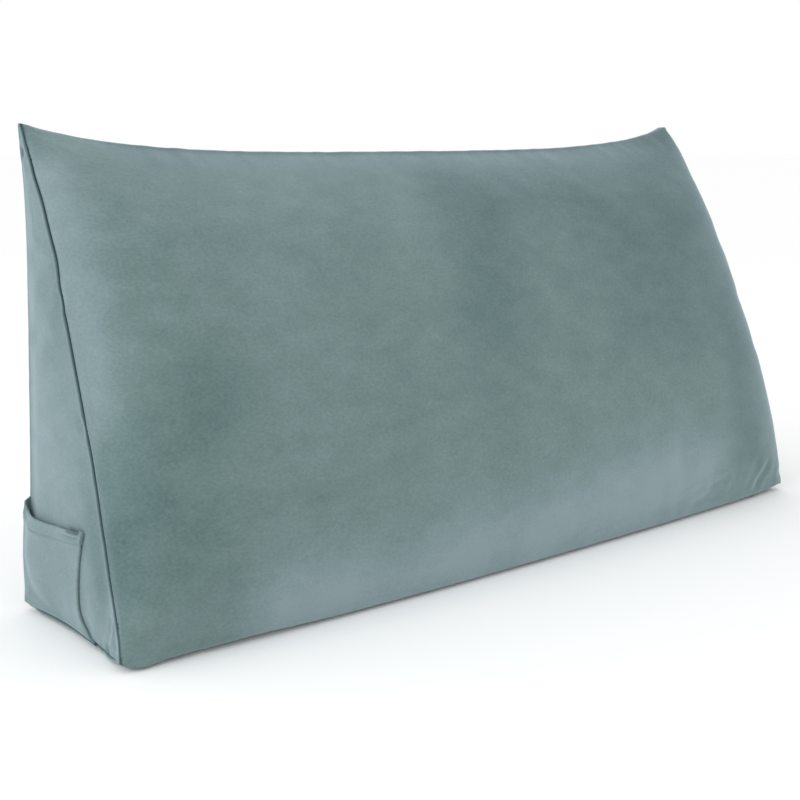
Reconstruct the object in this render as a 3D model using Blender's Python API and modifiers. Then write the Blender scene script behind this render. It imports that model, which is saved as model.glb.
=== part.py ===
# Wedge backrest pillow: one sewn and filled cushion, with a patch pocket on its left end.
# Metres, +Z up. The width runs along X, the sloping front faces -Y and the upright back +Y.

import math

import bmesh
import bpy
from mathutils import Vector

# The sewn cover, seam to seam
HEIGHT = 0.500  # base to the top corners
BASE_WIDTH = 1.017  # between the end seams at the base
TOP_WIDTH = 0.996  # between the top corners
DEPTH = 0.218  # front seam to back seam at the base
RIDGE = 0.012  # thickness of the rounded top edge
TOP_SAG = 0.0325  # how far the top edge hangs between its corners
TOP_SAG_POWER = 4.2  # high, so the sag is flat in the middle and turns up at the corners

# How the stuffing fills the panels
FRONT_CROWN = 0.077
BACK_CROWN = 0.020
END_CROWN = 0.004
CROWN_ACROSS = (6.0, 0.35)  # power and roundness from end to end: flat, then steep at the seams
CROWN_UP = (2.6, 0.75)  # the same from base to top
CROWN_TILT = 0.03  # the front is a little fuller low down
END_ROUND = 0.7  # roundness of the end panels' crown

# How the seams are drawn in
END_DRAW = 0.0086  # the end seams, halfway up
BASE_DRAW = 0.010  # the end seams of the base, halfway from front to back
TOE_BOW = 0.014  # the front of the base bows forward
SEAM_LIFT = 0.008  # the seam round the base stands this far off the surface
FLAT_ACROSS = 0.94  # share of the base's width that lies flat
FLAT_DEEP = 0.70  # share of the base's depth that lies flat

# The side pocket on the left end
POCKET_CLOTH = 0.002
POCKET_GAP = 0.0005  # between the pocket's sewn edges and the end panel
POCKET_BACK = 0.1045  # its back edge, beside the back seam
POCKET_FRONT = -0.021  # its front edge at its narrowest
POCKET_WAIST = 0.055  # height of that narrowest place
POCKET_FLARE_LOW = 0.036  # how far the front edge runs forward at the base
POCKET_FLARE_HIGH = 0.015  # and at the mouth
POCKET_BOTTOM = 0.0125
POCKET_MOUTH = 0.1195  # height of the mouth at its two ends
MOUTH_SAG = 0.0125
MOUTH_SAG_SKEW = 0.78  # below 1, so the lowest place is nearer the back
POCKET_SLACK = 0.0090  # how far the mouth stands open
POCKET_FILL_HEIGHT = 0.45  # share of the pocket's height over which it opens out from its sewn bottom

# Mesh steps
STEPS_ACROSS = 44
STEPS_DEEP = 10
STEPS_UP = 28
CROWDING = (1.5, 1.3, 1.4)  # the steps crowd towards the seams by these powers
POCKET_STEPS = (22, 16)

VELVET = (0.165, 0.245, 0.240, 1.0)


def smooth_step(low, high, value):
    share = min(max((value - low) / (high - low), 0.0), 1.0)
    return share * share * (3.0 - 2.0 * share)


def rounded(place, power, roundness):
    """1 in the middle of a panel, 0 at its seams, which are at -1 and 1."""
    return max(1.0 - abs(place) ** power, 0.0) ** roundness


def end_reach(deep, up):
    """Distance of an end panel from the middle of the cushion."""
    rise = (up + 1.0) / 2.0
    reach = (BASE_WIDTH * (1.0 - rise) + TOP_WIDTH * rise) / 2.0
    reach -= END_DRAW * (1.0 - up**4)
    reach -= BASE_DRAW * (1.0 - deep**2) * ((1.0 - up) / 2.0) ** 4
    return reach + END_CROWN * rounded(deep, 2, END_ROUND) * rounded(up, 2, END_ROUND)


def front_seam(rise):
    """Y of the straight front seam, from the base (0) to the top (1)."""
    return -DEPTH / 2.0 * (1.0 - rise) + (DEPTH / 2.0 - RIDGE) * rise


def sewn_point(across, deep, up):
    """Where a point of the cube from -1 to 1 lies on the filled cushion."""
    rise = (up + 1.0) / 2.0
    near_end = abs(across) ** 8
    seam_reach = (BASE_WIDTH * (1.0 - rise) + TOP_WIDTH * rise) / 2.0
    x = across * seam_reach + math.copysign(near_end, across) * (end_reach(deep, up) - seam_reach)

    lying = 1.0 - smooth_step(FLAT_ACROSS, 1.0, abs(across))
    lying *= 1.0 - smooth_step(FLAT_DEEP, 1.0, abs(deep))
    base = SEAM_LIFT * (1.0 - lying)
    top = HEIGHT - TOP_SAG * (1.0 - abs(across) ** TOP_SAG_POWER)
    z = base * (1.0 - rise) + top * rise

    front = front_seam(rise)
    y = front + (DEPTH / 2.0 - front) * (deep + 1.0) / 2.0
    y -= TOE_BOW * (1.0 - across**2) * ((1.0 - up) / 2.0) ** 3 * (1.0 - deep) / 2.0

    fill = rounded(across, *CROWN_ACROSS) * rounded(up, *CROWN_UP)
    if deep == -1.0:
        slope = math.atan2(HEIGHT, DEPTH)
        crown = FRONT_CROWN * fill * (1.0 - CROWN_TILT * up)
        y -= crown * math.sin(slope)
        z += crown * math.cos(slope)
    if deep == 1.0:
        y += BACK_CROWN * fill
    if up == 1.0:
        z += RIDGE / 2.0 * rounded(deep, 2, 0.5) * (1.0 - near_end)
    return Vector((x, y, z))


def velvet_material(name):
    material = bpy.data.materials.new(name)
    material.use_nodes = True
    shader = material.node_tree.nodes["Principled BSDF"]
    shader.inputs["Base Color"].default_value = VELVET
    shader.inputs["Roughness"].default_value = 0.85
    shader.inputs["Metallic"].default_value = 0.0
    return material


def add_piece(bm, name, collection, parent):
    mesh = bpy.data.meshes.new(name)
    bm.to_mesh(mesh)
    bm.free()
    mesh.shade_smooth()
    mesh.set_sharp_from_angle(angle=math.radians(50))
    mesh.materials.append(velvet_material(name))
    piece = bpy.data.objects.new(name, mesh)
    piece.parent = parent
    collection.objects.link(piece)
    return piece


def cut_along(bm, axis, cuts):
    """Cuts the cube's edges that run along one axis, right round it."""
    running = []
    for edge in bm.edges:
        run = edge.verts[1].co - edge.verts[0].co
        if abs(run[axis]) > 0.5 * run.length:
            running.append(edge)
    bmesh.ops.subdivide_edges(bm, edges=running, cuts=cuts, use_grid_fill=True)


def crowded(place, power):
    return math.copysign(1.0 - (1.0 - abs(place)) ** power, place)


def make_cushion(collection, parent):
    bm = bmesh.new()
    bmesh.ops.create_cube(bm, size=2.0)
    for axis, steps in enumerate((STEPS_ACROSS, STEPS_DEEP, STEPS_UP)):
        cut_along(bm, axis, steps - 1)
    for vert in bm.verts:
        across, deep, up = (crowded(round(co, 6), power) for co, power in zip(vert.co, CROWDING))
        vert.co = sewn_point(across, deep, up)
    bmesh.ops.recalc_face_normals(bm, faces=bm.faces[:])
    return add_piece(bm, "wedge_cushion", collection, parent)


def pocket_front_edge(height):
    low = max(POCKET_WAIST - height, 0.0) / (POCKET_WAIST - POCKET_BOTTOM)
    high = max(height - POCKET_WAIST, 0.0) / (POCKET_MOUTH - POCKET_WAIST)
    return POCKET_FRONT - POCKET_FLARE_LOW * low**2.6 - POCKET_FLARE_HIGH * high**2


def left_end_x(y, z):
    """X of the left end panel at a place on it."""
    rise = (z - SEAM_LIFT) / (HEIGHT - SEAM_LIFT)
    front = front_seam(rise)
    deep = 2.0 * (y - front) / (DEPTH / 2.0 - front) - 1.0
    return -end_reach(min(deep, 1.0), 2.0 * rise - 1.0)


def pocket_point(forward, rise):
    """A point of the pocket's inner side: (0, 0) is its back bottom corner, (1, 1) the front of its mouth."""
    mouth = POCKET_MOUTH - MOUTH_SAG * math.sin(math.pi * forward**MOUTH_SAG_SKEW)
    z = POCKET_BOTTOM + (mouth - POCKET_BOTTOM) * rise
    y = POCKET_BACK + (pocket_front_edge(z) - POCKET_BACK) * forward
    belly = rounded(2.0 * forward - 1.0, 4, 0.6) * smooth_step(0.0, POCKET_FILL_HEIGHT, rise) ** 0.5
    return Vector((left_end_x(y, z) - POCKET_GAP - POCKET_SLACK * belly, y, z))


def make_pocket(collection, parent):
    bm = bmesh.new()
    bmesh.ops.create_grid(bm, x_segments=POCKET_STEPS[0], y_segments=POCKET_STEPS[1], size=0.5)
    for vert in bm.verts:
        vert.co = pocket_point(vert.co.x + 0.5, vert.co.y + 0.5)
    pocket = add_piece(bm, "side_pocket", collection, parent)
    cloth = pocket.modifiers.new("Cloth thickness", "SOLIDIFY")
    cloth.thickness = POCKET_CLOTH
    cloth.offset = 1.0
    return pocket


def stand_on_origin(parent, pieces):
    """Moves the parent so that the object's box is centred on the origin and stands on Z = 0."""
    bpy.context.view_layer.update()
    graph = bpy.context.evaluated_depsgraph_get()
    corners = []
    for piece in pieces:
        evaluated = piece.evaluated_get(graph)
        corners += [evaluated.matrix_world @ Vector(corner) for corner in evaluated.bound_box]
    lowest = Vector(min(corner[axis] for corner in corners) for axis in range(3))
    highest = Vector(max(corner[axis] for corner in corners) for axis in range(3))
    middle = (lowest + highest) / 2.0
    parent.location = (-middle.x, -middle.y, -lowest.z)


def main():
    for old in list(bpy.data.objects):
        bpy.data.objects.remove(old, do_unlink=True)
    collection = bpy.data.collections.new("backrest_pillow")
    bpy.context.scene.collection.children.link(collection)
    parent = bpy.data.objects.new("backrest_pillow", None)
    collection.objects.link(parent)
    cushion = make_cushion(collection, parent)
    pocket = make_pocket(collection, parent)
    stand_on_origin(parent, [cushion, pocket])


main()
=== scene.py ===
import math

import bpy
import numpy as np
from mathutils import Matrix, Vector, kdtree, noise
from mathutils.bvhtree import BVHTree


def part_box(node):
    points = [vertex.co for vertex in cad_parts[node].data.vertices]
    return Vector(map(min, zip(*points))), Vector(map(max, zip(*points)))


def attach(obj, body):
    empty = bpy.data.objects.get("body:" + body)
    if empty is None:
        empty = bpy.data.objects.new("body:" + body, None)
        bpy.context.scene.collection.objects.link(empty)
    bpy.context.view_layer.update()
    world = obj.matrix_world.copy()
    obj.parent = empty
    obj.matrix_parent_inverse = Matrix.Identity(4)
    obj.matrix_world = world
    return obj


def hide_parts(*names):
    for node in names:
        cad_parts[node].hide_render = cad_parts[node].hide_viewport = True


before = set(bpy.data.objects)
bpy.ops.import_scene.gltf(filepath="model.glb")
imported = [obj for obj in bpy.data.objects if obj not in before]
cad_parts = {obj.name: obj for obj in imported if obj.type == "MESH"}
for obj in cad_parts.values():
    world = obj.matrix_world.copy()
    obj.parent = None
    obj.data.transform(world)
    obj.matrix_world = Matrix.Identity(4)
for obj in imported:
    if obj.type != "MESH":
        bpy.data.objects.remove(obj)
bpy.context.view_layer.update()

# the cushion's box tells where its back seam and its middle stand
cushionLow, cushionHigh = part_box("wedge_cushion")

# sizes of the sewn cover and of its filling, in metres
cushionSet = {
    "height": 0.500,
    "baseWidth": 1.017,
    "topWidth": 0.996,
    "depth": 0.218,
    "ridge": 0.012,            # thickness of the rounded top edge
    "topSag": 0.0325,
    "topSagPower": 4.2,
    "frontCrown": 0.077,
    "backCrown": 0.020,
    "endCrown": 0.004,
    "crownAcross": (6.0, 0.35),
    "crownUp": (2.6, 0.75),
    "crownTilt": 0.03,
    "endRound": 0.7,
    "endDraw": 0.0086,
    "baseDraw": 0.010,
    "toeBow": 0.014,
    "seamLift": 0.008,
    "flatAcross": 0.955,
    "flatDeep": 0.70,
    "endPower": 8,             # high, so only the very ends follow the end panels
    "marginOut": 0.0042,       # the base cloth rolls out under the end seams
    "marginThin": 0.6,         # by this share less towards the front
    "marginThins": (0.3, -0.8),  # between these places, from back to front
    "steps": (96, 26, 64),     # rows of quads across, deep and up
    "crowding": (1.6, 1.6, 1.5),
    "spreadSteps": 1500,
    "spreadPower": 4,
}
onFloor = 0.0005               # points lower than this lie on the floor
aboveFloor = 0.0015            # and those above it stay at least so high
onFace = 0.9999                # beyond this share a point is on that face of the cube
# how far the left front seam wanders forward of a straight line, by height
seamDrift = (
    (0.000, -0.012),
    (0.012, -0.007),
    (0.030, -0.003),
    (0.074, -0.006),
    (0.129, -0.0045),
    (0.184, 0.000),
    (0.340, 0.000),
    (0.372, 0.0055),
    (0.394, 0.002),
    (0.427, 0.000),
    (0.449, -0.0045),
    (0.500, -0.005),
)
# small changes at the foot of the front
toeSet = {
    "tuckBack": 0.006,         # the base seam is pulled in under the front
    "tuckDown": 0.006,
    "rollOut": 0.0045,         # and the cloth rolls forward over it
    "rollUpPower": 7,
    "footDeepPower": 6,        # high powers keep these changes close to the foot
    "footUpPower": 24,
    "endFree": 14,             # and the roll and the tuck away from the ends
    "cornerAt": -0.975,        # share of the width where the left corner bulges
    "cornerWide": 0.055,
    "cornerOut": 0.006,
    "cornerDown": 0.006,
    "cornerLift": 0.0050,      # the seams meet a little above the floor there
    "liftDeep": 0.30,
    "liftWide": 0.020,
    "liftUpPower": 30,
    "riseAt": -0.72,           # beyond the corner the foot is drawn up a little
    "riseWide": 0.12,
    "riseUp": 0.0022,
}
# the top corners stand up as small blunt ears: side, height, share of the width
ears = (
    (-1, 0.0045, 0.060),
    (1, 0.0050, 0.055),
)
earDeep = 0.10                 # share of the height
# the right end leans in at its top
pinchSet = {
    "from": 0.92,              # share of the height
    "by": 0.011,
    "upPower": 1.5,
    "acrossPower": 12,
}
middleX = (cushionLow.x + cushionHigh.x) / 2
backSeamY = cushionHigh.y - cushionSet["backCrown"]
middleY = backSeamY - cushionSet["depth"] / 2


def deselectAll():
    if bpy.context.mode != "OBJECT":
        bpy.ops.object.mode_set(mode="OBJECT")
    bpy.ops.object.select_all(action="DESELECT")


def makeActive(piece):
    deselectAll()
    piece.select_set(True)
    bpy.context.view_layer.objects.active = piece


def applyAll(piece):
    makeActive(piece)
    for modifier in list(piece.modifiers):
        bpy.ops.object.modifier_apply(modifier=modifier.name)


def readPoints(piece):
    points = np.empty(len(piece.data.vertices) * 3)
    piece.data.vertices.foreach_get("co", points)
    return points.reshape(-1, 3)


def writePoints(piece, points):
    piece.data.vertices.foreach_set("co", points.astype(np.float32).ravel())
    piece.data.update()


def readNormals(piece):
    normals = np.empty(len(piece.data.vertices) * 3)
    piece.data.vertices.foreach_get("normal", normals)
    return normals.reshape(-1, 3)


def readNumbers(piece, name):
    numbers = np.empty(len(piece.data.vertices))
    piece.data.attributes[name].data.foreach_get("value", numbers)
    return numbers


def writeNumbers(piece, name, numbers):
    attribute = piece.data.attributes.get(name) or piece.data.attributes.new(name, "FLOAT", "POINT")
    attribute.data.foreach_set("value", numbers.astype(np.float32))


def cubePlaces(piece):
    return [readNumbers(piece, name) for name in ("across", "deep", "up")]


def smoothStep(low, high, value):
    share = np.clip((value - low) / (high - low), 0, 1)
    return share * share * (3 - 2 * share)


def rounded(place, power, roundness):
    # 1 in the middle of a panel, 0 at its seams
    return np.clip(1 - np.abs(place) ** power, 0, 1) ** roundness


# the sewn wedge, as formulas on a cube from -1 to 1

def seamReach(up):
    rise = (up + 1) / 2
    return (cushionSet["baseWidth"] * (1 - rise) + cushionSet["topWidth"] * rise) / 2


def endReach(deep, up):
    reach = seamReach(up) - cushionSet["endDraw"] * (1 - up**4)
    reach = reach - cushionSet["baseDraw"] * (1 - deep**2) * ((1 - up) / 2) ** 4
    roundness = cushionSet["endRound"]
    return reach + cushionSet["endCrown"] * rounded(deep, 2, roundness) * rounded(up, 2, roundness)


def frontSeamY(rise):
    depth, ridge = cushionSet["depth"], cushionSet["ridge"]
    return -depth / 2 * (1 - rise) + (depth / 2 - ridge) * rise


def sewnPoints(across, deep, up):
    depth, height = cushionSet["depth"], cushionSet["height"]
    rise = (up + 1) / 2
    nearEnd = np.abs(across) ** cushionSet["endPower"]
    x = across * seamReach(up) + np.sign(across) * nearEnd * (endReach(deep, up) - seamReach(up))
    margin = np.clip((np.abs(across) - cushionSet["flatAcross"]) / (1 - cushionSet["flatAcross"]), 0, 1)
    lying = np.sqrt(1 - margin**2) * (1 - smoothStep(cushionSet["flatDeep"], 1, np.abs(deep)))
    thinner = 1 - cushionSet["marginThin"] * smoothStep(*cushionSet["marginThins"], deep)
    underEnd = (up == -1) * (1 - deep**8) * np.sin(math.pi * margin**4) * thinner
    x = x + np.sign(across) * cushionSet["marginOut"] * underEnd
    pinch = np.clip((rise - pinchSet["from"]) / (1 - pinchSet["from"]), 0, 1) ** pinchSet["upPower"]
    x = x - pinchSet["by"] * pinch * (across > 0) * np.abs(across) ** pinchSet["acrossPower"]
    top = height - cushionSet["topSag"] * (1 - np.abs(across) ** cushionSet["topSagPower"])
    z = cushionSet["seamLift"] * (1 - lying) * (1 - rise) + top * rise
    front = frontSeamY(rise)
    y = front + (depth / 2 - front) * (deep + 1) / 2
    y = y - cushionSet["toeBow"] * (1 - across**2) * ((1 - up) / 2) ** 3 * (1 - deep) / 2
    fill = rounded(across, *cushionSet["crownAcross"]) * rounded(up, *cushionSet["crownUp"])
    slope = math.atan2(height, depth)
    crown = cushionSet["frontCrown"] * fill * (1 - cushionSet["crownTilt"] * up) * (deep == -1)
    y = y - crown * math.sin(slope) + cushionSet["backCrown"] * fill * (deep == 1)
    z = z + crown * math.cos(slope)
    z = z + cushionSet["ridge"] / 2 * rounded(deep, 2, 0.5) * (1 - nearEnd) * (up == 1)
    y, z = shapeByHand(across, deep, up, y, z)
    return np.stack([x + middleX, y + middleY, z], axis=1)


def shapeByHand(across, deep, up, y, z):
    heights, drifts = zip(*seamDrift)
    frontShare = (1 - deep) / 2
    drift = np.interp(z, heights, drifts)
    y = y - drift * frontShare * np.abs(across) ** cushionSet["endPower"] * (across < 0)
    foot = frontShare ** toeSet["footDeepPower"] * ((1 - up) / 2) ** toeSet["footUpPower"]
    inner = 1 - np.abs(across) ** toeSet["endFree"]
    tuck = foot * inner
    corner = foot * np.exp(-(((across - toeSet["cornerAt"]) / toeSet["cornerWide"]) ** 2))
    rise = foot * np.exp(-(((across - toeSet["riseAt"]) / toeSet["riseWide"]) ** 2))
    y = y + toeSet["tuckBack"] * tuck - toeSet["cornerOut"] * corner
    y = y - toeSet["rollOut"] * frontShare**2 * ((1 - up) / 2) ** toeSet["rollUpPower"] * inner
    down = toeSet["tuckDown"] * tuck + toeSet["cornerDown"] * corner - toeSet["riseUp"] * rise
    lift = np.exp(-(((deep + 1) / toeSet["liftDeep"]) ** 2) - ((across + 1) / toeSet["liftWide"]) ** 2)
    down = down - toeSet["cornerLift"] * lift * ((1 - up) / 2) ** toeSet["liftUpPower"]
    z = np.where(z < onFloor, z, np.maximum(z - down, aboveFloor))
    for side, high, wide in ears:
        ear = np.exp(-(((across - side) / wide) ** 2)) * np.exp(-(((up - 1) / 2 / earDeep) ** 2))
        z = z + high * ear
    return y, z


def crowded(place, power):
    return np.sign(place) * (1 - (1 - np.abs(place)) ** power)


def spreadOverCrown(across, up, crown):
    # moves each row's points so that they stay evenly crowded along the crowned cloth
    dense = 1 - np.linspace(1, 0, cushionSet["spreadSteps"]) ** cushionSet["spreadPower"]
    gx = rounded(dense, *cushionSet["crownAcross"])
    result = across.copy()
    for level in np.unique(up):
        row = up == level
        amplitude = crown * rounded(level, *cushionSet["crownUp"])
        run = np.hypot(np.diff(dense) * seamReach(level), np.diff(amplitude * gx))
        length = np.concatenate([[0], np.cumsum(run)])
        share = np.abs(across[row])
        result[row] = np.sign(across[row]) * np.interp(share, length / length[-1], dense)
    return result


def cutAlong(piece, axis, cuts):
    makeActive(piece)
    bpy.ops.object.mode_set(mode="EDIT")
    bpy.ops.mesh.select_mode(type="EDGE")
    bpy.ops.mesh.select_all(action="DESELECT")
    bpy.ops.object.mode_set(mode="OBJECT")
    vertices = piece.data.vertices
    for edge in piece.data.edges:
        run = vertices[edge.vertices[1]].co - vertices[edge.vertices[0]].co
        edge.select = abs(run[axis]) > 0.5 * run.length
    bpy.ops.object.mode_set(mode="EDIT")
    bpy.ops.mesh.subdivide(number_cuts=cuts, smoothness=0)
    bpy.ops.object.mode_set(mode="OBJECT")


def makeBlank():
    deselectAll()
    bpy.ops.mesh.primitive_cube_add(size=2, location=(0, 0, 0))
    blank = bpy.context.object
    blank.name = "velvetCushion"
    for axis, steps in enumerate(cushionSet["steps"]):
        cutAlong(blank, axis, steps - 1)
    places = np.round(readPoints(blank), 5)
    crowding = enumerate(cushionSet["crowding"])
    across, deep, up = (crowded(places[:, axis], power) for axis, power in crowding)
    for side, crown in ((-1, cushionSet["frontCrown"]), (1, cushionSet["backCrown"])):
        panel = deep == side
        across[panel] = spreadOverCrown(across[panel], up[panel], crown)
    for name, numbers in (("across", across), ("deep", deep), ("up", up)):
        writeNumbers(blank, name, numbers)
    writePoints(blank, sewnPoints(across, deep, up))
    return blank


def seamTree(samples):
    tree = kdtree.KDTree(len(samples))
    for index, sample in enumerate(samples):
        tree.insert(sample, index)
    tree.balance()
    return tree


def onSeam(across, deep, up):
    # the sewn edges: all round both ends, along the base and along the back of the top edge
    near = 0.99999
    atEnd = (np.abs(across) > near) & ((np.abs(deep) > near) | (up < -near))
    atBase = (up < -near) & (np.abs(deep) > near)
    atTop = (up > near) & (deep > near)
    return atEnd | atBase | atTop


cushion = makeBlank()
print("blank cut", len(cushion.data.vertices))

# the top edge has no seam in front, so the front panel rolls over it softly
rollSet = {
    "reach": 0.036,
    "repeats": 130,
    "endPower": 30,            # high, so only the very ends keep their edge
}
# the corners are turned, so their tips are blunt: reach and repeats
bluntSet = {
    "left": (0.010, 5),
    "right": (0.017, 14),
}
softenSet = {
    "least": 0.02,             # points with less weight than this are left alone
    "factor": 0.5,
}


def soften(piece, name, weight, repeats):
    group = piece.vertex_groups.new(name=name)
    for index in np.nonzero(weight > softenSet["least"])[0]:
        group.add([int(index)], float(weight[index]), "REPLACE")
    smooth = piece.modifiers.new(name, "SMOOTH")
    smooth.factor = softenSet["factor"]
    smooth.iterations = repeats
    smooth.vertex_group = name
    applyAll(piece)


def softenTopRoll(piece):
    points = readPoints(piece)
    across, deep, up = cubePlaces(piece)
    edge = points[(deep == -1) & (up == 1)]
    order = np.argsort(edge[:, 0])
    onEdge = [np.interp(points[:, 0], edge[order, 0], edge[order, axis]) for axis in (1, 2)]
    away = np.linalg.norm(points[:, 1:] - np.stack(onEdge, axis=1), axis=1)
    weight = np.exp(-((away / rollSet["reach"]) ** 2)) * (1 - np.abs(across) ** rollSet["endPower"])
    weight = np.where(onSeam(across, deep, up), 0, weight)
    soften(piece, "topRoll", weight, rollSet["repeats"])


def bluntCorners(piece):
    points = readPoints(piece)
    across, deep, up = cubePlaces(piece)
    for side, name in ((-1, "left"), (1, "right")):
        reach, repeats = bluntSet[name]
        corner = points[(across * side > onFace) & (deep > onFace) & (up > onFace)][0]
        away = np.linalg.norm(points - corner, axis=1)
        soften(piece, name + "Blunt", np.exp(-((away / reach) ** 2)), repeats)


softenTopRoll(cushion)
bluntCorners(cushion)

# filling by pressure: the seams are pinned and the cloth is a little larger than they are
fillSet = {
    "pressure": 4.0,
    "frames": 20,
    "ease": 0.005,             # share by which the cloth is cut larger
    "quality": 6,
    "mass": 0.3,
    "stiffness": 15.0,
    "shear": 5.0,
    "bending": 2.0,
    "mostMove": 0.006,
    "seamCalm": 0.030,         # nearer the seams than this the cloth moves less
    "topCalm": 0.45,           # and above this height, on the scale from -1 to 1
}


def fillByPressure(piece):
    start = readPoints(piece)
    across, deep, up = cubePlaces(piece)
    held = onSeam(across, deep, up) | ((up < -onFace) & (start[:, 2] < onFloor))
    pins = piece.vertex_groups.new(name="pins")
    pins.add([int(i) for i in np.nonzero(held)[0]], 1.0, "REPLACE")
    cloth = piece.modifiers.new("filling", "CLOTH")
    settings = cloth.settings
    settings.quality = fillSet["quality"]
    settings.mass = fillSet["mass"]
    settings.tension_stiffness = fillSet["stiffness"]
    settings.compression_stiffness = fillSet["stiffness"]
    settings.shear_stiffness = fillSet["shear"]
    settings.bending_stiffness = fillSet["bending"]
    settings.use_pressure = True
    settings.uniform_pressure_force = fillSet["pressure"]
    settings.shrink_min = -fillSet["ease"]
    settings.vertex_group_mass = "pins"
    settings.effector_weights.gravity = 0
    cloth.point_cache.frame_start = 1
    cloth.point_cache.frame_end = fillSet["frames"]
    scene = bpy.context.scene
    for step in range(1, fillSet["frames"] + 1):
        scene.frame_set(step)
    applyAll(piece)
    move = readPoints(piece) - start
    length = np.linalg.norm(move, axis=1)
    print("pressure moved the cloth by", round(float(np.median(length)), 4), round(float(length.max()), 4))
    most = fillSet["mostMove"]
    share = most * np.tanh(length / most) / np.maximum(length, 1e-9)
    tree = seamTree(start[onSeam(across, deep, up)])
    away = np.array([tree.find(point)[2] for point in start])
    share = share * smoothStep(0, fillSet["seamCalm"], away)
    share = share * smoothStep(1, fillSet["topCalm"], up)
    writePoints(piece, start + move * share[:, None])
    scene.frame_set(1)


fillByPressure(cushion)


def subdivideOnce(piece):
    across, deep, up = cubePlaces(piece)
    seam = onSeam(across, deep, up)
    crease = piece.data.attributes.new("crease_edge", "FLOAT", "EDGE")
    ends = np.empty(len(piece.data.edges) * 2, int)
    piece.data.edges.foreach_get("vertices", ends)
    ends = ends.reshape(-1, 2)
    crease.data.foreach_set("value", (seam[ends[:, 0]] & seam[ends[:, 1]]).astype(np.float32))
    finer = piece.modifiers.new("finer", "SUBSURF")
    finer.levels = 1
    finer.render_levels = 1
    applyAll(piece)


# seams: each is a valley that both panels roll into
seamSet = {
    "width": 0.0060,           # of the roll on the front and back panels
    "endWidth": 0.0020,        # and on the end panels
    "depth": 0.0028,
    "spacing": 0.0008,
    "ridgeHeight": 0.0004,     # the turned-in cloth shows as a low ridge on the end panels
    "ridgeAway": 0.0030,
    "ridgeWide": 0.0012,
    "puckerHeight": 0.0007,
    "puckerLength": 0.016,
    "puckerReach": 0.018,
    "puckerAbove": 0.002,      # the base lies flat below this height
    "shadeWide": 0.0021,
    "topShadeFrom": 0.985,     # the top edge gets painted seam shade only beyond this share
    "foldFree": 0.003,         # listed folds keep this far off the stitching
    "foldLip": 0.35,           # share of a fold's depth by which the cloth rises beside it
    "foldLipAway": 1.9,        # and how far from the fold, in widths
}
# folds and pinches, listed one by one: from, to, depth, width
handFolds = (
    ((-0.4997, -0.0720, 0.042), (-0.5006, -0.0670, 0.011), 0.0014, 0.0032),  # left foot, beside the seam
    ((-0.5017, -0.0802, 0.042), (-0.5046, -0.0874, 0.014), 0.0008, 0.0022),
    ((-0.5021, -0.0689, 0.013), (-0.5021, -0.0689, 0.010), 0.0022, 0.0030),
    ((-0.4995, -0.0381, 0.004), (-0.4995, -0.0390, 0.012), 0.0010, 0.0018),
    ((-0.5005, -0.0536, 0.004), (-0.5005, -0.0540, 0.013), 0.0010, 0.0016),
    ((-0.5005, -0.0600, 0.005), (-0.5005, -0.0610, 0.016), 0.0010, 0.0018),
    ((-0.4955, -0.1059, 0.012), (-0.4940, -0.1059, 0.007), 0.0012, 0.0026),  # left foot, in front
    ((-0.4681, -0.1091, 0.012), (-0.4550, -0.1130, 0.062), 0.0009, 0.0075),
    ((-0.4287, -0.1110, 0.010), (-0.4080, -0.1225, 0.060), 0.0009, 0.0085),
    ((0.4697, -0.1129, 0.022), (0.4070, -0.1243, 0.058), 0.0006, 0.0120),    # right foot
    ((0.4242, -0.1155, 0.024), (0.4380, -0.1179, 0.047), -0.0011, 0.0075),
    ((0.4400, -0.1154, 0.023), (0.4540, -0.1181, 0.042), 0.0014, 0.0065),
    ((0.5050, -0.1000, 0.026), (0.4960, -0.1085, 0.026), 0.0008, 0.0060),
    ((0.3270, -0.1205, 0.030), (0.3450, -0.1228, 0.036), -0.0012, 0.0050),
    ((0.3300, -0.1215, 0.038), (0.3560, -0.1235, 0.044), 0.0014, 0.0055),
    ((0.2980, -0.1226, 0.030), (0.3150, -0.1230, 0.034), -0.0011, 0.0050),
    ((0.2960, -0.1220, 0.022), (0.3200, -0.1225, 0.024), 0.0010, 0.0050),
    ((-0.4796, 0.0979, 0.494), (-0.4560, 0.0930, 0.486), 0.0009, 0.0110),    # left top corner
    ((-0.4917, 0.0346, 0.335), (-0.4917, 0.0330, 0.331), 0.0014, 0.0070),    # kink in the left seam
    ((-0.4953, -0.0080, 0.218), (-0.4953, -0.0140, 0.212), 0.0012, 0.0045),
    ((-0.4961, 0.1050, 0.478), (-0.4959, 0.1059, 0.472), 0.0014, 0.0026),    # notch by the back seam
)


def seamLines(piece):
    # samples of the seams, each with the way into the cushion there
    points, normals = readPoints(piece), readNormals(piece)
    across, deep, up = cubePlaces(piece)
    seam = onSeam(across, deep, up)
    samples, inward = [], []
    for edge in piece.data.edges:
        a, b = edge.vertices
        if not (seam[a] and seam[b]):
            continue
        same = [abs(place[a] - place[b]) < 1e-4 for place in (across, deep, up)]
        if same.count(True) < 2:
            continue
        count = max(1, int(np.linalg.norm(points[b] - points[a]) / seamSet["spacing"]))
        for step in range(count):
            share = step / count
            samples.append(points[a] * (1 - share) + points[b] * share)
            way = -(normals[a] * (1 - share) + normals[b] * share)
            inward.append(way / np.linalg.norm(way))
    return np.array(samples), np.array(inward)


def nearestSeam(points, samples):
    tree = seamTree(samples)
    found = [tree.find(point) for point in points]
    return np.array([f[1] for f in found]), np.array([f[2] for f in found])


def awayFromLine(points, start, end):
    start, run = np.array(start), np.array(end) - np.array(start)
    share = np.clip((points - start) @ run / max(run @ run, 1e-12), 0, 1)
    return np.linalg.norm(points - start - share[:, None] * run, axis=1)


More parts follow.
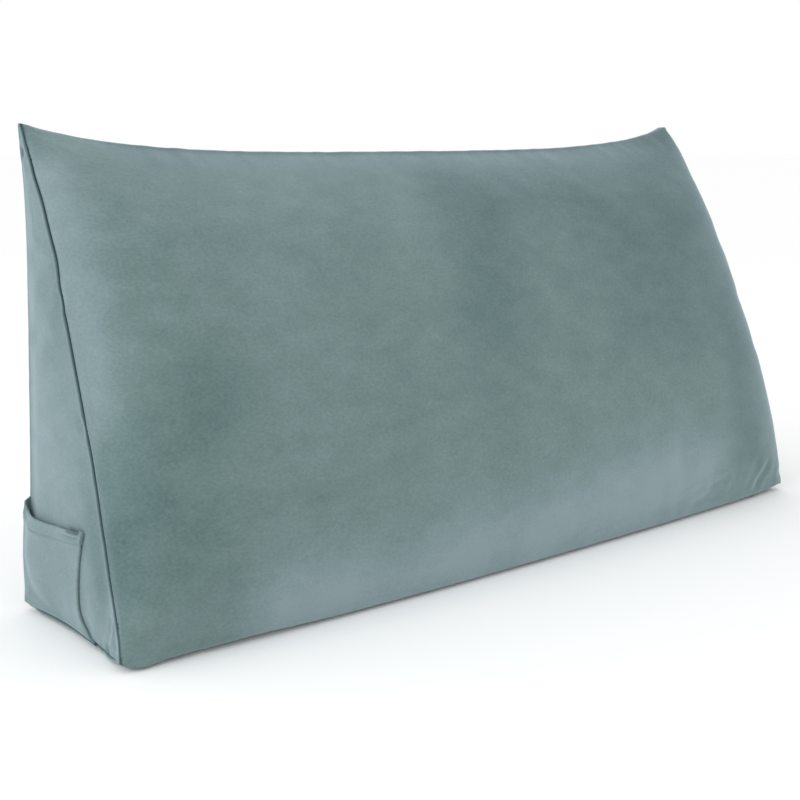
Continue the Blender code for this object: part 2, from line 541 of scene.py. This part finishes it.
def foldByHand(piece):
    points, normals = readPoints(piece), readNormals(piece)
    push = np.zeros(len(points))
    for start, end, depth, width in handFolds:
        away = awayFromLine(points, start, end) / width
        lip = seamSet["foldLip"] * np.exp(-((away - seamSet["foldLipAway"]) ** 2))
        push += depth * (np.exp(-(away**2)) - lip)
    free = smoothStep(0, seamSet["foldFree"], readNumbers(piece, "seamAway"))
    push = np.where(points[:, 2] < onFloor, 0, push) * free
    moved = points - normals * push[:, None]
    moved[:, 2] = np.maximum(moved[:, 2], 0)
    writePoints(piece, moved)


def roll(distance, width):
    # 1 in the seam, 0 a roll's width away from it, round over the roll and sharp in the seam
    near = np.clip(1 - distance / width, 0, 1)
    return 1 - np.sqrt(1 - near**2)


def sewSeams(piece):
    points, normals = readPoints(piece), readNormals(piece)
    across, deep, up = cubePlaces(piece)
    samples, inward = seamLines(piece)
    nearest, distance = nearestSeam(points, samples)
    onEnd = np.abs(across) > onFace
    onTop = (up > onFace) & (deep < onFace) & ~onEnd
    width = np.where(onEnd | onTop, seamSet["endWidth"], seamSet["width"])
    moved = points + inward[nearest] * (seamSet["depth"] * roll(distance, width))[:, None]
    ridge = np.exp(-((distance - seamSet["ridgeAway"]) / seamSet["ridgeWide"]) ** 2) * onEnd
    wave = np.array([noise.noise(Vector(p) / seamSet["puckerLength"]) for p in samples[nearest]])
    reach = distance / seamSet["puckerReach"]
    offBase = points[:, 2] > seamSet["puckerAbove"]
    pucker = seamSet["puckerHeight"] * wave * reach * np.exp(1 - reach) * offBase
    moved = moved + normals * (seamSet["ridgeHeight"] * ridge + pucker)[:, None]
    moved[:, 2] = np.where(points[:, 2] < onFloor, points[:, 2], np.maximum(moved[:, 2], onFloor))
    writePoints(piece, moved)
    writeNumbers(piece, "seamAway", distance)
    # painted shade deep in the seams, darkest in the seam line
    shade = np.exp(-((distance / seamSet["shadeWide"]) ** 2))
    unshaded = onTop & (np.abs(across) < seamSet["topShadeFrom"])
    writeNumbers(piece, "seamShade", np.where(unshaded, 0, shade))


# painted light (above 0) and painted shade (below 0), laid over the lie of the pile: from, to, width,
# strength
pileAndLightPatches = (
    ((-0.484, 0.068, 0.458), (-0.491, -0.035, 0.240), 0.030, 0.65),
    ((-0.390, 0.095, 0.478), (0.470, 0.090, 0.475), 0.042, -0.55),
    ((0.100, 0.070, 0.450), (0.440, 0.040, 0.420), 0.110, -0.90),
    ((-0.495, -0.067, 0.108), (-0.450, -0.090, 0.120), 0.060, -0.50),
    ((-0.330, -0.124, 0.020), (0.300, -0.133, 0.060), 0.055, 0.95),
    ((0.405, -0.115, 0.090), (0.430, -0.060, 0.280), 0.060, -0.60),
    ((0.270, -0.075, 0.270), (0.310, -0.007, 0.394), 0.085, -0.52),
    ((0.020, 0.000, 0.400), (-0.010, -0.050, 0.300), 0.065, -0.45),
    ((-0.410, -0.075, 0.220), (-0.400, -0.075, 0.240), 0.050, -0.45),
)
# and painted shade on the end panels, beside the pocket
endPileAndShadePatches = (
    ((-0.501, -0.043, 0.135), (-0.500, -0.050, 0.070), 0.022, -0.55),
)
# painted shade deep in folds: from, to, width, strength
shadeLines = (
    ((-0.5018, 0.0067, 0.1118), (-0.5012, -0.0180, 0.1145), 0.0022, 0.85),   # behind the pocket's mouth
    ((-0.4961, 0.1050, 0.4778), (-0.4959, 0.1059, 0.4718), 0.0024, 1.00),    # notch by the back seam
    ((0.5070, -0.1020, 0.0075), (0.5060, -0.1010, 0.0150), 0.0050, 0.60),    # right front corner
    ((-0.5021, -0.0689, 0.0130), (-0.5021, -0.0689, 0.0100), 0.0018, 0.50),  # left foot
)
endPaintedLight = 0.30                 # the end panels and the pocket are painted paler all over: painted light
darkestPaintedShade = -0.75            # and no painted shade is darker than this


def paintPileAndLight(piece, onEnd):
    # paints light and shade into the tone attribute, patch by patch
    points = readPoints(piece)
    pileAndLight = np.where(onEnd, endPaintedLight, 0.0)
    for patches, here in ((pileAndLightPatches, ~onEnd), (endPileAndShadePatches, onEnd)):
        for start, end, width, strength in patches:
            patch = np.exp(-((awayFromLine(points, start, end) / width) ** 2))
            pileAndLight = pileAndLight + np.where(here, strength * patch, 0)
    writeNumbers(piece, "pileAndLight", np.maximum(pileAndLight, darkestPaintedShade))


def shadeFolds(piece):
    points = readPoints(piece)
    shade = readNumbers(piece, "seamShade")
    for start, end, width, strength in shadeLines:
        shade = np.maximum(shade, strength * np.exp(-((awayFromLine(points, start, end) / width) ** 2)))
    writeNumbers(piece, "seamShade", shade)


subdivideOnce(cushion)
sewSeams(cushion)
foldByHand(cushion)
shadeFolds(cushion)
paintPileAndLight(cushion, np.abs(readNumbers(cushion, "across")) > onFace)
print("cushion sewn", len(cushion.data.polygons), "quads")


# velvet: a short pile, paler or darker by the way it lies, by random tone and by painted light and shade
velvetSet = {
    # tones of the cloth: painted light moves it towards pale, painted shade towards deep, random tone both
    # ways
    "deep": (0.052, 0.099, 0.097, 1),
    "mid": (0.123, 0.184, 0.179, 1),
    "pale": (0.205, 0.270, 0.284, 1),
    # painted shade: the colour deep in the seams and folds
    "seam": (0.024, 0.056, 0.062, 1),
    "middle": 0.5,             # where the middle tone stands between deep and pale
    # how strongly the painted light and shade move the tone
    "pileAndLightAmount": 0.5,
    "layers": (                # features to the metre, detail, stretch, amount
        (7.0, 3, (1, 1, 0.8), 0.45),           # soft clouds
        (45.0, 6, (0.6, 0.6, 1.1), 0.36),      # faint brush strokes
        (330.0, 2, (0.8, 0.8, 1.2), 0.45),     # grain
    ),
    "noiseMiddle": 0.5,
    "bumpSize": 900.0,
    "bumpDetail": 2,
    "bumpStrength": 0.35,
    "bumpDepth": 0.0005,
    "roughness": 0.85,
    "specular": 0.25,
    "sheen": 0.65,
    "sheenRoughness": 0.45,
    "sheenTint": (0.75, 0.90, 1.0, 1),
}


def velvetMaterial(name):
    material = bpy.data.materials.new(name)
    material.use_nodes = True
    nodes, links = material.node_tree.nodes, material.node_tree.links
    shader = nodes["Principled BSDF"]
    shader.inputs["Roughness"].default_value = velvetSet["roughness"]
    shader.inputs["Specular IOR Level"].default_value = velvetSet["specular"]
    shader.inputs["Sheen Weight"].default_value = velvetSet["sheen"]
    shader.inputs["Sheen Roughness"].default_value = velvetSet["sheenRoughness"]
    shader.inputs["Sheen Tint"].default_value = velvetSet["sheenTint"]
    place = nodes.new("ShaderNodeTexCoord")

    def noiseAt(size, detail, stretch):
        mapping = nodes.new("ShaderNodeMapping")
        mapping.inputs["Scale"].default_value = stretch
        links.new(place.outputs["Object"], mapping.inputs["Vector"])
        texture = nodes.new("ShaderNodeTexNoise")
        texture.inputs["Scale"].default_value = size
        texture.inputs["Detail"].default_value = detail
        links.new(mapping.outputs["Vector"], texture.inputs["Vector"])
        return texture.outputs["Fac"]

    def attribute(name):
        node = nodes.new("ShaderNodeAttribute")
        node.attribute_name = name
        return node.outputs["Fac"]

    def plusScaled(total, value, amount, offset):
        # total + (value + offset) * amount
        scaled = nodes.new("ShaderNodeMath")
        scaled.operation = "MULTIPLY_ADD"
        links.new(value, scaled.inputs[0])
        scaled.inputs[1].default_value = amount
        scaled.inputs[2].default_value = offset * amount
        added = nodes.new("ShaderNodeMath")
        added.operation = "ADD"
        links.new(scaled.outputs["Value"], added.inputs[0])
        if isinstance(total, float):
            added.inputs[1].default_value = total
        else:
            links.new(total, added.inputs[1])
        return added.outputs["Value"]

    # the tone: painted light and shade from the attribute, then random clouds, strokes and grain
    lieAndLight = plusScaled(velvetSet["middle"], attribute("pileAndLight"), velvetSet["pileAndLightAmount"], 0)
    for size, detail, stretch, amount in velvetSet["layers"]:
        lieAndLight = plusScaled(lieAndLight, noiseAt(size, detail, stretch), amount, -velvetSet["noiseMiddle"])
    ramp = nodes.new("ShaderNodeValToRGB")
    ramp.color_ramp.elements[0].color = velvetSet["deep"]
    ramp.color_ramp.elements[1].color = velvetSet["pale"]
    ramp.color_ramp.elements.new(velvetSet["middle"]).color = velvetSet["mid"]
    links.new(lieAndLight, ramp.inputs["Fac"])
    # painted shade: the seamShade attribute darkens the colour in seams and folds
    mix = nodes.new("ShaderNodeMix")
    mix.data_type = "RGBA"
    links.new(attribute("seamShade"), mix.inputs["Factor"])
    links.new(ramp.outputs["Color"], mix.inputs["A"])
    mix.inputs["B"].default_value = velvetSet["seam"]
    links.new(mix.outputs["Result"], shader.inputs["Base Color"])
    bump = nodes.new("ShaderNodeBump")
    bump.inputs["Strength"].default_value = velvetSet["bumpStrength"]
    bump.inputs["Distance"].default_value = velvetSet["bumpDepth"]
    fibres = noiseAt(velvetSet["bumpSize"], velvetSet["bumpDetail"], (1, 1, 1))
    links.new(fibres, bump.inputs["Height"])
    links.new(bump.outputs["Normal"], shader.inputs["Normal"])
    return material


velvet = velvetMaterial("velvet")


def finishPiece(piece, material):
    piece.data.materials.clear()
    piece.data.materials.append(material)
    makeActive(piece)
    bpy.ops.object.shade_smooth()
    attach(piece, "root")


finishPiece(cushion, velvet)
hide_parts("wedge_cushion")

# the side pocket: one patch with its mouth hemmed and its front edge turned under
pocketSet = {
    "cut": (0.160, 0.125),     # flat size of the patch, with its turnings
    "cloth": 0.0013,
    "gap": 0.0003,
    "back": 0.1085,            # its back edge, in the back seam
    "front": -0.0118,          # its front edge at its narrowest
    "waist": 0.040,            # and the height of that place
    "flareLow": 0.0275,
    "flareLowPower": 3.9,
    "flareHigh": 0.0142,
    "bottom": 0.0060,
    "bottomLift": 0.0015,      # the bottom rises to the back corner
    "bottomLiftPower": 4,
    "mouth": 0.1035,           # the lowest of the mouth
    "mouthFront": 0.0100,      # how far it rises to its front end
    "mouthFrontPower": 1.7,
    "mouthBack": 0.0160,       # and to the back seam
    "mouthBackWide": 0.06,
    "slack": 0.0085,           # how far the mouth stands open
    "slackRise": 0.27,         # share of the width over which it opens from the back seam
    "slackPower": 4,
    "slackFall": 0.18,         # and from which it lies flatter towards the front
    "backTurn": 0.0022,        # the doubled hem in the back seam
    "backTurnWide": 0.02,
    "backTurnRise": (0.1, 0.5),
    "mouthPull": 0.45,         # the hem is tighter than the cloth below it by this share
    "pullFrom": 0.86,
    "gape": 0.0016,            # how much more it opens at its front end
    "gapeFrom": 0.60,
    "gapeTo": 1.0,
    "gapeGrows": 0.7,          # shares of that stretch, for opening and closing
    "gapeCloses": 0.8,
    "gapePower": 8,
    "fillHeight": 0.75,
    "fillPower": 0.5,
    "looseBack": 0.3,          # within these shares the face is loose from the panel
    "looseFront": 0.6,
    "looseUp": 0.4,
    "calmPower": 3,
    "leastBelly": 0.3,         # share of its opening that it keeps over every swell of the panel
    "turnedFrom": (0.5, 0.97),  # where the front turning lies behind the face
    "hemmedFrom": (1.4, 0.8),  # and the hem, in hem heights
    "tall": 0.1,               # rough height, for placing the hem
    "fold": 0.00075,           # radius of the turned edges
    "hem": 0.011,
    "turn": 0.006,
    "columns": (80, 6, 5),     # face, fold and turning, from back to front
    "rows": (66, 8, 9),        # and from bottom to mouth
    "grooveDeep": 0.0007,
    "grooveWide": 0.0013,
    "grooveShade": 0.30,
    "slitWide": 0.0014,        # shadow along the front end of the mouth
    "slitShade": 0.85,
    "slitFrom": (0.76, 0.84),
    "slitTo": (1.0, 0.96),
    "creaseDeep": 0.0020,      # the soft fold under the mouth's front end
    "creaseDown": 0.0050,
    "creaseWide": 0.0018,
    "creaseFrom": (0.66, 0.80),
    "creaseTo": (1.0, 0.95),
    "waveHigh": 0.0005,
    "waveLong": 0.030,
    "waveStretch": 0.5,
    "waveSlice": 3.7,          # which slice of the noise the waves are read from
}


def endPanelX(tree, y, z):
    # where the left end panel's cloth lies at each place
    xs = np.empty(len(y))
    for index, (placeY, placeZ) in enumerate(zip(y, z)):
        hit = tree.ray_cast(Vector((-1, placeY, placeZ)), Vector((1, 0, 0)))[0]
        xs[index] = hit.x if hit else middleX - seamReach(0)
    return xs


def pocketFrontY(height):
    waist = pocketSet["waist"]
    low = np.clip(waist - height, 0, None) / (waist - pocketSet["bottom"])
    high = np.clip(height - waist, 0, None) / (mouthHeight(1) - waist)
    flareLow = pocketSet["flareLow"] * low ** pocketSet["flareLowPower"]
    return pocketSet["front"] - (flareLow + pocketSet["flareHigh"] * high**2)


def gapeShape(forward):
    # grows slowly towards the front end and closes quickly at the corner
    share = (forward - pocketSet["gapeFrom"]) / (pocketSet["gapeTo"] - pocketSet["gapeFrom"])
    share = np.clip(share, 0, 1)
    grows = smoothStep(0, pocketSet["gapeGrows"], share)
    return grows * (1 - smoothStep(pocketSet["gapeCloses"], 1, share))


def mouthHeight(forward):
    lift = pocketSet["mouthFront"] * forward ** pocketSet["mouthFrontPower"]
    lift = lift + pocketSet["mouthBack"] * np.exp(-forward / pocketSet["mouthBackWide"])
    return pocketSet["mouth"] + lift


def bottomHeight(forward):
    return pocketSet["bottom"] + pocketSet["bottomLift"] * (1 - forward) ** pocketSet["bottomLiftPower"]


def runsOf(share, counts, turning):
    # grid share to a place on the face, 0 to 1, and metres beyond its edge
    knots = np.cumsum((0,) + counts) / sum(counts)
    fold = math.pi * pocketSet["fold"]
    face = np.interp(share, knots[:2], (0, 1))
    return face, np.interp(share, knots, (0, 0, fold, fold + turning))


def turnedUnder(beyond):
    # how far past the edge the cloth lies, and how far behind its face
    radius = pocketSet["fold"]
    turn = np.clip(beyond / radius, 0, math.pi)
    behind = np.clip(beyond - math.pi * radius, 0, None)
    return radius * np.sin(turn) - behind, radius * (1 - np.cos(turn))


def pocketBelly(forward, rise):
    closed = 1 - np.clip(forward / pocketSet["slackRise"], 0, 1)
    opening = np.sqrt(1 - closed ** pocketSet["slackPower"])
    belly = opening * (1 - smoothStep(pocketSet["slackFall"], 1, forward))
    filled = smoothStep(0, pocketSet["fillHeight"], rise) ** pocketSet["fillPower"]
    belly = pocketSet["slack"] * belly * filled
    belly = belly * (1 - pocketSet["mouthPull"] * smoothStep(pocketSet["pullFrom"], 1, rise))
    hemEnd = np.clip(forward / pocketSet["backTurnWide"], 0, None)
    hemRise = smoothStep(*pocketSet["backTurnRise"], rise)
    belly = belly + pocketSet["backTurn"] * hemEnd * np.exp(1 - hemEnd) * hemRise
    return belly + pocketSet["gape"] * gapeShape(forward) * rise ** pocketSet["gapePower"]


def pocketPlaces(forward, rise, aheadBy=0.0, aboveBy=0.0):
    bottom = bottomHeight(forward)
    z = bottom + (mouthHeight(forward) - bottom) * rise + aboveBy
    y = pocketSet["back"] + (pocketFrontY(z) - pocketSet["back"]) * forward - aheadBy
    return y + middleY, z


def calmed(x, y, z):
    # one smooth surface through the panel: loose cloth doesn't follow its small swells
    powers = pocketSet["calmPower"] + 1
    terms = np.stack([y**i * z**j for i in range(powers) for j in range(powers - i)], axis=1)
    return terms @ np.linalg.lstsq(terms, x, rcond=None)[0]


def pocketFaceX(tree, forward, rise, y, z):
    # the face's middle layer, which leaves room for the turned layers behind it
    hemStart, hemFull = (pocketSet["hem"] * share for share in pocketSet["hemmedFrom"])
    hemmed = smoothStep(hemStart, hemFull, (1 - rise) * pocketSet["tall"])
    layers = 2 * pocketSet["fold"] * (smoothStep(*pocketSet["turnedFrom"], forward) + hemmed)
    panel = endPanelX(tree, y, z)
    loose = smoothStep(0, pocketSet["looseBack"], forward)
    loose = loose * smoothStep(1, pocketSet["looseFront"], forward)
    loose = loose * smoothStep(0, pocketSet["looseUp"], rise)
    belly = pocketBelly(forward, rise)
    smooth = panel * (1 - loose) + calmed(panel, y, z) * loose
    x = np.minimum(smooth - belly, panel - pocketSet["leastBelly"] * belly)
    x = x - pocketSet["gap"] - pocketSet["cloth"] / 2 - layers
    below = mouthHeight(forward) - z
    groove = np.exp(-(((below - pocketSet["hem"]) / pocketSet["grooveWide"]) ** 2))
    crease = np.exp(-(((below - pocketSet["creaseDown"]) / pocketSet["creaseWide"]) ** 2))
    crease = crease * smoothStep(*pocketSet["creaseFrom"], forward)
    crease = crease * smoothStep(*pocketSet["creaseTo"], forward)
    waveY, waveZ = y / pocketSet["waveLong"], z / pocketSet["waveLong"] * pocketSet["waveStretch"]
    spots = [Vector((pocketSet["waveSlice"], *place)) for place in zip(waveY, waveZ)]
    wave = np.array([noise.noise(spot) for spot in spots])
    x = x + pocketSet["grooveDeep"] * groove + pocketSet["creaseDeep"] * crease
    return x - pocketSet["waveHigh"] * wave * rounded(2 * forward - 1, 4, 1) * rise


def makePocket(tree):
    deselectAll()
    columns, rows = pocketSet["columns"], pocketSet["rows"]
    bpy.ops.mesh.primitive_grid_add(x_subdivisions=sum(columns), y_subdivisions=sum(rows), size=1)
    pocket = bpy.context.object
    pocket.name = "velvetPocket"
    grid = readPoints(pocket)
    forward, pastFront = runsOf(grid[:, 0] + 0.5, columns, pocketSet["turn"])
    rise, pastMouth = runsOf(grid[:, 1] + 0.5, rows, pocketSet["hem"])
    aheadBy, behindFront = turnedUnder(pastFront)
    aboveBy, behindMouth = turnedUnder(pastMouth)
    y, z = pocketPlaces(forward, rise, aheadBy, aboveBy)
    x = pocketFaceX(tree, forward, rise, y, z) + behindFront + behindMouth
    writePoints(pocket, np.stack([x, y, z], axis=1))
    below = (mouthHeight(forward) - z) * (pastMouth == 0) * (pastFront == 0)
    # painted shade in the hem's stitch groove, along the bottom seam and in the slit at the mouth's front
    # end
    groove = np.exp(-(((below - pocketSet["hem"]) / pocketSet["grooveWide"]) ** 2))
    bottomSeamShade = np.exp(-(((z - bottomHeight(forward)) / seamSet["shadeWide"]) ** 2))
    slitShadow = np.exp(-((below / pocketSet["slitWide"]) ** 2)) * (pastFront == 0)
    slitShadow = slitShadow * smoothStep(*pocketSet["slitFrom"], forward) * smoothStep(*pocketSet["slitTo"], forward)
    shade = pocketSet["grooveShade"] * groove + bottomSeamShade + pocketSet["slitShade"] * slitShadow
    writeNumbers(pocket, "seamShade", np.clip(shade, 0, 1))
    # the pocket gets the same painted light as the end panel
    writeNumbers(pocket, "pileAndLight", np.full(len(z), endPaintedLight))
    thick = pocket.modifiers.new("cloth", "SOLIDIFY")
    thick.thickness = pocketSet["cloth"]
    thick.offset = 0
    applyAll(pocket)
    bpy.ops.object.mode_set(mode="EDIT")
    bpy.ops.mesh.select_all(action="SELECT")
    bpy.ops.mesh.normals_make_consistent(inside=False)
    bpy.ops.object.mode_set(mode="OBJECT")
    return pocket


stitchSet = {
    "long": 0.0026,
    "every": 0.0036,
    "thick": 0.0005,
    "sides": 8,
    "rings": 6,
    "colour": (0.150, 0.215, 0.210, 1),
    "dark": 0.6,               # share of the colour in the painted shade between the twists
    "twistSize": 900,
    "roughness": 0.6,
}


def makeStitches(tree):
    count = int((pocketSet["back"] - pocketSet["front"]) / stitchSet["every"])
    forward = (np.arange(count) + 0.5) / count
    rise = 1 - pocketSet["hem"] / (mouthHeight(forward) - bottomHeight(forward))
    y, z = pocketPlaces(forward, rise)
    x = pocketFaceX(tree, forward, rise, y, z) - pocketSet["cloth"] / 2
    spots = np.stack([x, y, z], axis=1)
    ways = np.gradient(spots, axis=0)
    stitches = []
    sides, rings = stitchSet["sides"], stitchSet["rings"]
    for spot, way in zip(spots, ways):
        deselectAll()
        bpy.ops.mesh.primitive_uv_sphere_add(segments=sides, ring_count=rings, radius=0.5)
        stitch = bpy.context.object
        stitch.scale = (stitchSet["thick"], stitchSet["thick"], stitchSet["long"])
        stitch.rotation_euler = Vector(way).to_track_quat("Z", "X").to_euler()
        stitch.location = spot
        stitches.append(stitch)
    deselectAll()
    for stitch in stitches:
        stitch.select_set(True)
    bpy.context.view_layer.objects.active = stitches[0]
    bpy.ops.object.join()
    bpy.ops.object.transform_apply(location=True, rotation=True, scale=True)
    bpy.context.object.name = "pocketStitches"
    return bpy.context.object


def threadMaterial():
    material = bpy.data.materials.new("pocketThread")
    material.use_nodes = True
    nodes, links = material.node_tree.nodes, material.node_tree.links
    shader = nodes["Principled BSDF"]
    shader.inputs["Roughness"].default_value = stitchSet["roughness"]
    place = nodes.new("ShaderNodeTexCoord")
    twist = nodes.new("ShaderNodeTexWave")
    twist.inputs["Scale"].default_value = stitchSet["twistSize"]
    ramp = nodes.new("ShaderNodeMix")
    ramp.data_type = "RGBA"
    ramp.inputs["A"].default_value = stitchSet["colour"]
    dark = [value * stitchSet["dark"] for value in stitchSet["colour"][:3]]
    ramp.inputs["B"].default_value = (*dark, 1)
    links.new(place.outputs["Object"], twist.inputs["Vector"])
    links.new(twist.outputs["Fac"], ramp.inputs["Factor"])
    links.new(ramp.outputs["Result"], shader.inputs["Base Color"])
    return material


bpy.context.view_layer.update()
panelTree = BVHTree.FromObject(cushion, bpy.context.evaluated_depsgraph_get())
pocket = makePocket(panelTree)
stitches = makeStitches(panelTree)
finishPiece(pocket, velvet)
finishPiece(stitches, threadMaterial())
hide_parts("side_pocket")
print("pocket sewn on", len(pocket.data.polygons), "faces")

# the stage: a pale floor, soft light and the camera
stageSet = {
    "floor": (0.985, 0.985, 0.985, 1),
    "floorSize": 60,
    "floorRoughness": 0.9,
    "world": (1.0, 1.0, 1.0, 1),
    "worldStrength": 1.0,
    "focalPixels": 1304.8,
    "frameWidth": 800,
    "sensor": 36.0,
    "cameraAt": (-1.0302, -1.1585, 0.4922),   # from the middle of the base seams
    "yaw": 0.6805,
    "pitch": 0.1254,
    "shiftY": -0.125,
}
# name, place, aimed at, width, height, watts, colour
lamps = (
    ("leftSoftbox", (-2.6, -0.5, 1.2), (0.0, 0.0, 0.25), 2.0, 1.8, 24, (0.90, 0.96, 1.0)),
    ("frontSoftbox", (0.8, -3.2, 0.9), (0.0, 0.0, 0.15), 2.2, 1.2, 8, (1.0, 1.0, 0.97)),
)


def aim(thing, target):
    way = Vector(target) - thing.location
    thing.rotation_euler = way.to_track_quat("-Z", "Y").to_euler()


def makeStage():
    deselectAll()
    bpy.ops.mesh.primitive_plane_add(size=stageSet["floorSize"], location=(0, 0, 0))
    floor = bpy.context.object
    floor.name = "paleFloor"
    material = bpy.data.materials.new("paleFloor")
    material.use_nodes = True
    shader = material.node_tree.nodes["Principled BSDF"]
    shader.inputs["Base Color"].default_value = stageSet["floor"]
    shader.inputs["Roughness"].default_value = stageSet["floorRoughness"]
    floor.data.materials.append(material)
    world = bpy.data.worlds.new("studio")
    bpy.context.scene.world = world
    world.use_nodes = True
    background = world.node_tree.nodes["Background"]
    background.inputs["Color"].default_value = stageSet["world"]
    background.inputs["Strength"].default_value = stageSet["worldStrength"]
    for name, place, target, width, height, watts, colour in lamps:
        light = bpy.data.lights.new(name, "AREA")
        light.shape = "RECTANGLE"
        light.size, light.size_y = width, height
        light.energy = watts
        light.color = colour
        lamp = bpy.data.objects.new(name, light)
        lamp.location = place
        aim(lamp, target)
        bpy.context.scene.collection.objects.link(lamp)


def makeCamera():
    lens = bpy.data.cameras.new("photoCamera")
    lens.sensor_width = stageSet["sensor"]
    lens.lens = stageSet["focalPixels"] / stageSet["frameWidth"] * stageSet["sensor"]
    lens.shift_y = stageSet["shiftY"]
    camera = bpy.data.objects.new("photoCamera", lens)
    camera.location = Vector(stageSet["cameraAt"]) + Vector((middleX, middleY, 0))
    camera.rotation_euler = (math.pi / 2 - stageSet["pitch"], 0, -stageSet["yaw"])
    bpy.context.scene.collection.objects.link(camera)
    bpy.context.scene.camera = camera


makeStage()
makeCamera()
bpy.context.scene.view_settings.view_transform = "Standard"
print("stage set")
